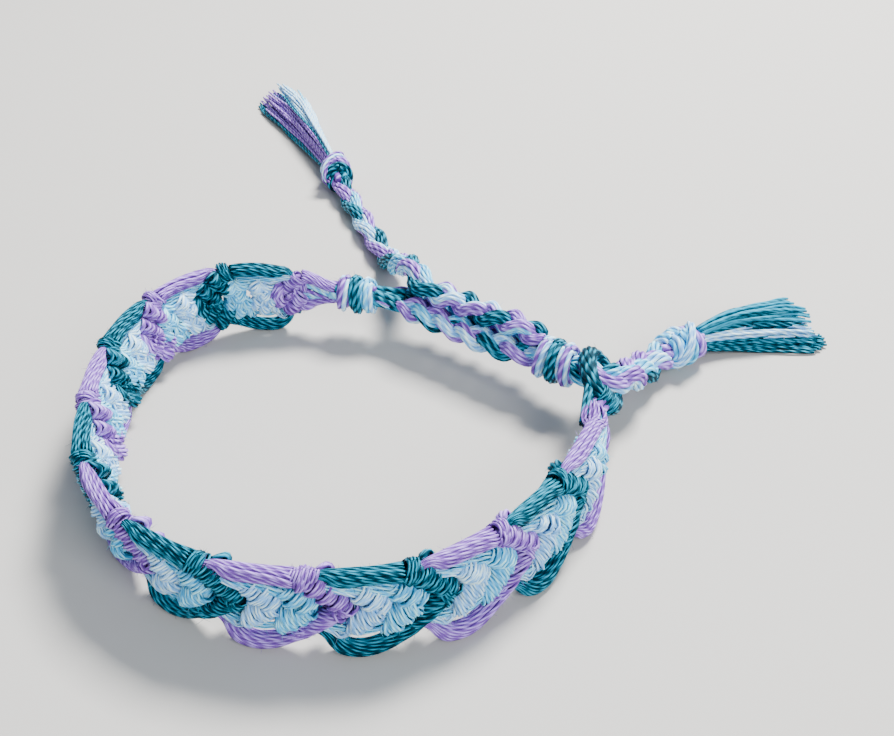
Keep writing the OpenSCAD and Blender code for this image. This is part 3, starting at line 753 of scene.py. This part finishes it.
# Four turns of teal bind its root, and lilac and teal strands run from there into the band
q = np.linspace(-np.pi, np.pi, 33)[:, None]
root = loop_start + 0.7 * loop_out
around = np.cos(q) * loop_out + np.sin(q) * loop_normal
turns = np.stack([root + BIND_R * around + place * loop_side for place in BIND_PLACES])
rope(loop_skein, turns, np.broadcast_to(around, turns.shape),
     [[TEAL] * ROPE_THREADS] * len(BIND_PLACES), BIND_ROPE_R)
through(loop_skein, wall(BAND_LEN - 1.4, MID_Z, 0), root, [LILAC] * 6, 1.05)
through(loop_skein, wall(BAND_LEN - 3.2, MID_Z, -1.2),
        loop_start + 2.2 * loop_out + 2.1 * loop_side, [TEAL] * 6, 0.6)
loop_skein.fuzz(70)
loop_skein.make("start_loop_threads", "teal_floss", "start_loop")


# Closing knot
# The outward tie is turned round the bundle just before the loop and pulled tight, so its
# threads show as a white and lilac band, a teal band and a lilac band.
CLOSING_D, WRAPS_BEFORE, WRAPS_PAST = 5.3, 0.5, 0.6

closing_skein = Skein(43)
wound(closing_skein, flat(closing_face - chord * WRAPS_BEFORE, MID_Z), flat(chord, 0),
      CLOSING_LEN + WRAPS_BEFORE + WRAPS_PAST, CLOSING_D,
      [[WHITE, LILAC, WHITE] * 2, [TEAL] * 6, [LILAC, WHITE] * 3], lean=0.3, waist=0.85)
closing_skein.fuzz(90, length=0.5)
closing_skein.make("closing_knot_wraps", "lilac_floss", "closing_knot")


# Chevron rows
# A row of one colour: the outer string of each side floats along the edge, wraps the edge
# string at the edge knot, and is knotted string by string to the middle, where both meet.
ROWS, CHEVRON_RUN, START_TAPER, END_TAPER, ROW_GAP = 13, 3.2, 4.4, 16.6, 0.2
FLOAT_T, FLOAT_SPLAY, ROW_T, NECK_LEN, NECK_T = 1.6, 0.5, 2.1, 4, 2.5
TUCK, TUCK_W, TUCK_Z, TIP_CUT, FIRST_HEIGHT = 1.35, 0.75, 0.62, 0.45, 0.68
RISE = TOP_KNOT_Z - MID_Z
PITCH = (BAND_LEN - START_TAPER - END_TAPER) / (ROWS - 2)
ROW_STEP = PITCH / 3
ROW_W = ROW_STEP * math.sin(math.atan(RISE / CHEVRON_RUN)) - ROW_GAP
FLOAT_THREAD_R, ARM_THREAD_R, BUMP_THREAD_R, STRING_THREAD_R = 0.155, 0.165, 0.17, 0.14


def edge_knot(k):
    """Running length at which edge knot k sits; 0 is the gather knot."""
    return 0 if k == 0 else BAND_LEN if k == ROWS else START_TAPER + (k - 1) * PITCH


def height(k):
    """Share of the full height that chevron k reaches."""
    return FIRST_HEIGHT if k == 1 else 1


def tip(k):
    """Running length of chevron k's point."""
    return edge_knot(k) + CHEVRON_RUN * height(k)


WALL_ROUND_STEPS, WALL_SPAN_STEPS, UNEVEN = 12, 4, 0.07
FULL_W, LEAST_REACH = 1.3, 0.05


def wall_threads(skein, stations, count, r, turns, stuff, rib=0.0, slant=0.0):
    """Threads round a line in the wall. Thread j goes round its section at
    q = 2 pi (j / count + turns x): width A cos q square to the line, thickness B sin q
    through the wall, and slant cos q along it. A rib lifts the middle thread of each round,
    and threads get thinner where the line is narrower than its full width."""
    rows = bend(stations)
    n = int(max(turns * WALL_ROUND_STEPS, len(stations) * WALL_SPAN_STEPS))
    rows, _ = even(rows, np.linalg.norm(np.diff(rows[:, :3], axis=0), axis=1).sum() / n)
    u, z, w, width, thick = rows.T
    d = unit(np.stack([np.gradient(u), np.gradient(z)], -1))
    x = np.linspace(0, 1, len(rows))
    j = np.arange(count)[:, None]
    lift = rib * np.sin(np.pi * (j + 0.5) / count)
    thin = np.minimum(1, width / FULL_W)
    q = 2 * np.pi * (j / count + turns * x + skein.chance.random())
    across = (np.maximum(width / 2 - r * thin, LEAST_REACH) + lift) * np.cos(q)
    inward = (np.maximum(thick / 2 - r * thin, LEAST_REACH) + lift) * np.sin(q)
    across, inward = (v * (1 + UNEVEN * skein.chance.normal(0, 1, (count, 1)))
                      for v in (across, inward))
    ahead = slant * np.cos(q)
    lines = wall(u - d[:, 1] * across + d[:, 0] * ahead,
                 z + d[:, 0] * across + d[:, 1] * ahead, w + inward)
    skein.lay(lines, lines - wall(u, z, w), r * thin, stuff, sides=5)


def core_thread(skein, stations, stuff, share):
    """The leading string inside a knotted arm: one thick thread on the arm's own line, its
    radius a share of half the arm's width."""
    rows, _ = even(bend(stations, 4), 0.5)
    u, z, w, width, _ = rows.T
    line = wall(u, z, w)[None]
    # Its low tone paints it darker: painted shade where it shows between the outer threads
    skein.lay(line, wall(u, z, w + 1)[None] - line, width / 2 * share, stuff, sides=6, tone=0.1)


def edge_wrap(skein, u, z, up, out, stuff, threads):
    """The edge knot's turns: rings round the edge string in the plane square to it, up and
    out its half sizes. The outer turns are smaller, and all lean along the string."""
    q = np.linspace(0, 2 * np.pi, 33)
    j = np.arange(threads)[:, None] - (threads - 1) / 2
    place = u + j * 2 * STRING_THREAD_R + 0.2 * np.cos(q)
    puff = 1 - 0.12 * np.abs(j)
    lines = wall(place, z + up * puff * np.cos(q), out * puff * np.sin(q))
    middle = wall(place, z + 0 * q, 0 * q)
    skein.lay(lines, lines - middle, STRING_THREAD_R, stuff, sides=6, ends=1)


def chevron_lines(k):
    """Stations [u, z, w, width, thickness] of chevron k's upper and lower halves, and for
    each the number of the station where its float ends and its knotted arm begins."""
    a, b = edge_knot(k - 1), edge_knot(k)
    p, high, low = b - a, BAND_H - FLOAT_W / 2, FLOAT_W / 2
    # The edge knots before it lie e short of the full height
    e = RISE * (1 - height(k - 1))
    full = FLOAT_W, FLOAT_T
    top_end = [a + TUCK, TOP_KNOT_Z + TUCK_Z - e, 0, TUCK_W, FLOAT_T * 0.6]
    low_end = [a + TUCK * 0.85, LOW_KNOT_Z - TUCK_Z * 1.4 + e, 0, TUCK_W, FLOAT_T * 0.6]
    if k == 1:
        s, r = FLOAT_W * 0.45, RISE * height(1)
        upper, lower = (
            [[SEAT, MID_Z + g * s, 0, FLOAT_W * 0.8, FLOAT_T * 0.9],
             [b * 0.35, MID_Z + g * (s + r * 0.15), 0, FLOAT_W * 0.8, FLOAT_T],
             [b * 0.7, MID_Z + g * r * 0.82, 0, FLOAT_W * 0.85, FLOAT_T],
             [b - 0.1, MID_Z + g * r, 0, ROW_W * 0.9, ROW_T],
             [tip(1) - TIP_CUT, MID_Z + g * TIP_CUT, 0, ROW_W, ROW_T]] for g in (1, -1))
        splits = 3, 3
    elif k == ROWS:
        end_b = BAND_LEN - SEAT
        neck, s = end_b - NECK_LEN, FLOAT_W * 0.42
        p, end = neck - a, end_b - FLOAT_W * 0.4
        upper = [top_end,
                 [a + 0.3 * p, high - 0.1, 0, *full],
                 [a + 0.6 * p, high - 0.4, 0, *full],
                 [a + 0.84 * p, MID_Z + RISE * 0.68, 0, *full],
                 [neck, MID_Z + s + 0.3, 0, FLOAT_W * 0.85, NECK_T],
                 [neck + NECK_LEN * 0.45, MID_Z + s, 0, FLOAT_W * 0.8, NECK_T],
                 [end, MID_Z + s, 0, FLOAT_W * 0.8, FLOAT_T]]
        lower = [low_end,
                 [a + 0.2 * p, low + 0.3, FLOAT_SPLAY * 0.7, *full],
                 [a + 0.35 * p, low + 0.1, FLOAT_SPLAY * 0.7, *full],
                 [a + 0.62 * p, low + 0.9, 0, *full],
                 [a + 0.84 * p, MID_Z - RISE * 0.74, 0, *full],
                 [neck, MID_Z - s - 0.3, 0, FLOAT_W * 0.85, NECK_T],
                 [neck + NECK_LEN * 0.45, MID_Z - s, 0, FLOAT_W * 0.8, NECK_T],
                 [end, MID_Z - s, 0, FLOAT_W * 0.8, FLOAT_T]]
        splits = 6, 7
    else:
        upper = [top_end,
                 [a + 0.3 * p, high - 0.05 - e * 0.5, 0, *full],
                 [a + 0.5 * p, high - e * 0.15, 0, *full],
                 [a + 0.7 * p, high, 0, *full],
                 [b - 0.9, high - 0.1, 0, FLOAT_W * 0.95, ROW_T],
                 [b + 0.15, TOP_KNOT_Z - 0.15, 0, ROW_W, ROW_T],
                 [b + CHEVRON_RUN / 2, MID_Z + RISE / 2, 0, ROW_W, ROW_T],
                 [tip(k) - TIP_CUT, MID_Z + TIP_CUT, 0, ROW_W, ROW_T]]
        lower = [low_end,
                 [a + 0.25 * p, low + 0.35 + e * 0.5, FLOAT_SPLAY * 0.7, FLOAT_W * 0.95, FLOAT_T],
                 [a + 0.37 * p, low, FLOAT_SPLAY, *full],
                 [a + 0.52 * p, low, FLOAT_SPLAY, *full],
                 [a + 0.68 * p, low + 0.4, FLOAT_SPLAY * 0.7, *full],
                 [b - 1.5, LOW_KNOT_Z - 0.8, FLOAT_SPLAY * 0.2, FLOAT_W * 0.95, ROW_T],
                 [b - 0.2, LOW_KNOT_Z - 0.05, 0, ROW_W, ROW_T],
                 [b + CHEVRON_RUN / 2, MID_Z - RISE / 2, 0, ROW_W, ROW_T],
                 [tip(k) - TIP_CUT, MID_Z - TIP_CUT, 0, ROW_W, ROW_T]]
        splits = 4, 6
    return np.array(upper), np.array(lower), *splits


# Length of one knot on an arm's face and on its inner side, and how deep a bump is set
KNOT_STEP, BUMP_STEP, BUMP_SET = 1.15, 1.7, 0.65


def arm_length(arm):
    """Length of a line in the wall."""
    return np.linalg.norm(np.diff(arm[:, :2], axis=0), axis=1).sum()


def inner_bumps(skein, stations, stuff, size):
    """The inner face of an arm: every knot shows as two bumps side by side. A bump is a row
    of threads that arch along the arm, w = -(T + h sin pi x) for x from 0 to 1, with T the
    arm's half thickness less a set depth, and h less in a bump's outer threads."""
    rows, run = even(bend(stations), 0.1, 2)
    count = max(int(round(run[-1] / BUMP_STEP)), 1)
    x = np.linspace(0.04, 0.96, 7)
    at = (np.arange(count)[:, None, None, None] + x) * run[-1] / count
    side = np.array([-1, 1])[None, :, None, None]
    j = np.arange(-2, 3)[None, None, :, None]
    u, z, w, width, thick = (np.interp(at, run, column) for column in rows.T)
    d = unit(np.stack([np.gradient(rows[:, 0]), np.gradient(rows[:, 1])], -1))
    du, dz = (np.interp(at, run, column) for column in d.T)
    arch = np.sin(np.pi * x)
    spread = j * 2 * BUMP_THREAD_R * 0.95
    across = size * (side * width * 0.30 + spread * (0.35 + 0.65 * arch))
    deep = w - thick / 2 + BUMP_SET - arch * size * (1.05 - 0.11 * j ** 2)
    lines = wall(u - dz * across, z + du * across, deep).reshape(-1, len(x), 3)
    core = wall(u, z, w + 0 * across).reshape(-1, len(x), 3)
    skein.lay(lines, lines - core, BUMP_THREAD_R * size, stuff, sides=5, ends=1)


def knotted_arm(skein, arm, stuff, core, bumps, rib, slant):
    """An arm whose threads turn once for each knot, with its leading string inside it and
    its bumps on the inner side."""
    wall_threads(skein, arm, 4, ARM_THREAD_R, arm_length(arm) / KNOT_STEP, stuff, rib=rib,
                 slant=slant)
    core_thread(skein, arm, stuff, core)
    inner_bumps(skein, arm[1:], stuff, bumps)


# The chevron with the widest edge knot, and the turns of that one and of the others
WIDE_KNOT, WIDE_TURNS, EDGE_TURNS = 9, 9, 4
ROW_HAIR_LEN, ROW_HAIR_R = 0.4, 0.015
# Threads and turns of a float, threads of a smooth arm and the length they turn once in,
# and the leading string's share of a float's and of an arm's width
FLOAT_THREADS, FLOAT_TURNS, SMOOTH_THREADS, SMOOTH_TURN = 15, 0.16, 14, 9
FLOAT_CORE, ARM_CORE, BUMP_SIZE = 0.78, 0.75, 1.35


def chevron(k, stuff, name, slot, node):
    """One chevron: two floats, two knotted arms that meet in a point, and its edge knots."""
    skein = Skein(100 + k)
    upper, lower, top_split, low_split = chevron_lines(k)
    top, bottom = upper[:top_split + 1], lower[:low_split + 1]
    if k > 1:
        a = edge_knot(k - 1)
        top = np.vstack([[a + 0.1, TOP_KNOT_Z * height(k - 1) + 0.1, 0, 0.7, 0.8], top])
        bottom = np.vstack([[a + 0.3, LOW_KNOT_Z - 0.2, 0, 0.7, 0.8], bottom])
    for line in (top, bottom):
        wall_threads(skein, line, FLOAT_THREADS, FLOAT_THREAD_R, FLOAT_TURNS, stuff)
        core_thread(skein, line, stuff, FLOAT_CORE)
    if k == 1:
        inner = [[SEAT, MID_Z, 0, 1.8, 1.8], [2.0, MID_Z, 0, 2.4, 1.7],
                 [START_TAPER, MID_Z, 0, 2.2, 1.4], [tip(1) - 0.6, MID_Z, 0, 1.2, 1.2]]
        wall_threads(skein, np.array(inner), 12, 0.24, 0.3, [WHITE, LILAC, AQUA] * 4)
    if k < ROWS:
        point = [tip(k), MID_Z, 0, ROW_W, ROW_T]
        over = [tip(k) - 0.9, MID_Z - 0.8, 0, ROW_W * 0.9, ROW_T]
        arm = np.vstack([upper[top_split:], point, over])
        knotted_arm(skein, arm, stuff, core=ARM_CORE, bumps=BUMP_SIZE, rib=0.26, slant=0.25)
        # In front the lower arm's threads go on smoothly from its float
        arm = lower[low_split - 1:]
        wall_threads(skein, arm, SMOOTH_THREADS, ARM_THREAD_R, arm_length(arm) / SMOOTH_TURN,
                     stuff)
        core_thread(skein, arm, stuff, ARM_CORE)
        inner_bumps(skein, arm[1:], stuff, BUMP_SIZE)
        edge_wrap(skein, edge_knot(k) - 0.25, TOP_KNOT_Z * height(k) + 0.45, 0.82, 0.88, stuff,
                  WIDE_TURNS if k == WIDE_KNOT else EDGE_TURNS)
    skein.fuzz(420, ROW_HAIR_LEN, ROW_HAIR_R)
    skein.make(name, slot, node)


for k in range(1, ROWS + 1):
    stuff, word = (LILAC, "lilac") if k % 2 else (TEAL, "teal")
    node = f"{word}_chevron_{(k + 1) // 2}"
    chevron(k, stuff, f"{node}_threads", f"{word}_floss", node)


# Aqua and white rows
# Two pale rows fill each chevron. Their knots are smaller and softer, and their strings
# float from row to row inside the coloured ones, so gaps show between them.
REACH_UP = (BAND_H - FLOAT_W) - MID_Z - ROW_W * 0.45 * math.cos(
    math.atan(RISE / CHEVRON_RUN)) - ROW_GAP - 0.05
REACH_DOWN = RISE * 0.8
# How much fuller than its solid a pale arm is, its leading string's share, its bumps' size
PALE_WIDER, PALE_THICKER, PALE_CORE, PALE_BUMP = 1.16, 1.1, 0.8, 1.15
# Threads of the strings above and below a pale row, and their turns there and in the neck
HANG_THREADS, SAG_THREADS, STRING_TURNS, NECK_TURNS = 11, 9, 0.2, 0.25


def pale_place(k, j):
    """Where pale row j of chevron k's unit lies: its point, its reach up and down, its
    width. The last unit has no point to lean on, so its rows get shorter."""
    before = tip(k - 1)
    if k < ROWS:
        f = height(1) + (1 - height(1)) * j / 3 if k == 2 else 1
        return before + (tip(k) - before) * j / 3, REACH_UP * f, REACH_DOWN * f, ROW_W
    if j == 1:
        return before + ROW_STEP, REACH_UP * 0.9, REACH_DOWN * 0.9, ROW_W
    return before + 1.9 * ROW_STEP, REACH_UP * 0.8, REACH_DOWN * 0.5, ROW_W * 0.75


def pale_stations(u, up, down, w):
    """Stations of a pale row: a short V with its point at u."""
    e, cut = CHEVRON_RUN / RISE, TIP_CUT * w / ROW_W
    bent_up, bent_down = max(up * 0.55, cut * 1.2), max(down * 0.55, cut * 1.2)
    return np.array([
        [u - up * e, MID_Z + up, 0, w * 0.9, ROW_T * 0.9],
        [u - max(up * e * 0.55, cut * 1.3), MID_Z + bent_up, 0, w, ROW_T],
        [u - cut, MID_Z + cut, 0, w, ROW_T],
        [u - cut, MID_Z - cut, 0, w, ROW_T],
        [u - max(down * e * 0.55, cut * 1.3), MID_Z - bent_down, 0, w, ROW_T],
        [u - down * e, MID_Z - down, 0, w * 0.9, ROW_T * 0.9]])


def pale_row(k, j, stuff, name, slot, node):
    """Pale row j of chevron k's unit: a wrapped V and its thin floats above and below."""
    skein = Skein(200 + 2 * k + j)
    u, up, down, w = pale_place(k, j)
    rows = pale_stations(u, up, down, w * PALE_WIDER)
    rows[:, 4] *= PALE_THICKER
    for arm, back, climb, slant in ((rows[:3], 0.5, 0.4, 0.3), (rows[:2:-1], 0.7, -0.3, 0.45)):
        tucked = arm[0] + [-back, climb, -0.1, -w * 0.5, -ROW_T * 0.4]
        arm = np.vstack([tucked, arm, [u + 0.15, MID_Z, 0, w, ROW_T]])
        knotted_arm(skein, arm, stuff, core=PALE_CORE, bumps=PALE_BUMP, rib=0.34, slant=slant)
    a, e = edge_knot(k - 1), CHEVRON_RUN / RISE
    low = FLOAT_W + 0.25 + 0.45 * j
    end_u, end_z = u - down * e, MID_Z - down
    sag = np.array([
        [a + 1.0, LOW_KNOT_Z + 0.2, 0, 0.9, 1.0],
        [a + 0.30 * (end_u - a) + 0.9, low + 0.25, 0.1, 1.0, 1.1],
        [a + 0.62 * (end_u - a) + 0.4, low - 0.1, 0.15, 1.0, 1.1],
        [end_u + 0.3, end_z + 0.2, 0, 1.2, 1.5]])
    wall_threads(skein, sag, SAG_THREADS, STRING_THREAD_R, STRING_TURNS, stuff)
    top_u, top_z = u - up * e, MID_Z + up
    hang = np.array([
        [a + 1.0, TOP_KNOT_Z - 0.7, 0, 1.0, 1.2],
        [a + 0.5 * (top_u - a) + 0.6, BAND_H - FLOAT_W - 0.45, 0, 1.2, 1.4],
        [top_u + 0.4, top_z - 0.1, 0, 1.4, 1.6]])
    wall_threads(skein, hang, HANG_THREADS, STRING_THREAD_R, STRING_TURNS, stuff)
    if k == ROWS:
        neck = BAND_LEN - SEAT - NECK_LEN
        for sign in (1, -1):
            last = np.array([
                [u - 0.6, MID_Z + sign * 1.3, 0.1, 1.0, 1.3],
                [neck - 1.2, MID_Z + sign * 0.7, 0.2, 1.0, 1.4],
                [neck + 1.0, MID_Z + sign * 0.3, 0.35, 1.0, 1.6],
                [BAND_LEN - 0.5, MID_Z, 0.35, 1.0, 1.6]])
            wall_threads(skein, last, HANG_THREADS, STRING_THREAD_R, NECK_TURNS, stuff)
    skein.fuzz(400, ROW_HAIR_LEN, ROW_HAIR_R)
    skein.make(name, slot, node)


for k in range(2, ROWS + 1):
    for j, stuff, word in ((1, WHITE, "white"), (2, AQUA, "aqua")):
        node = f"{word}_row_{k}"
        pale_row(k, j, stuff, f"{node}_threads", f"{word}_floss", node)
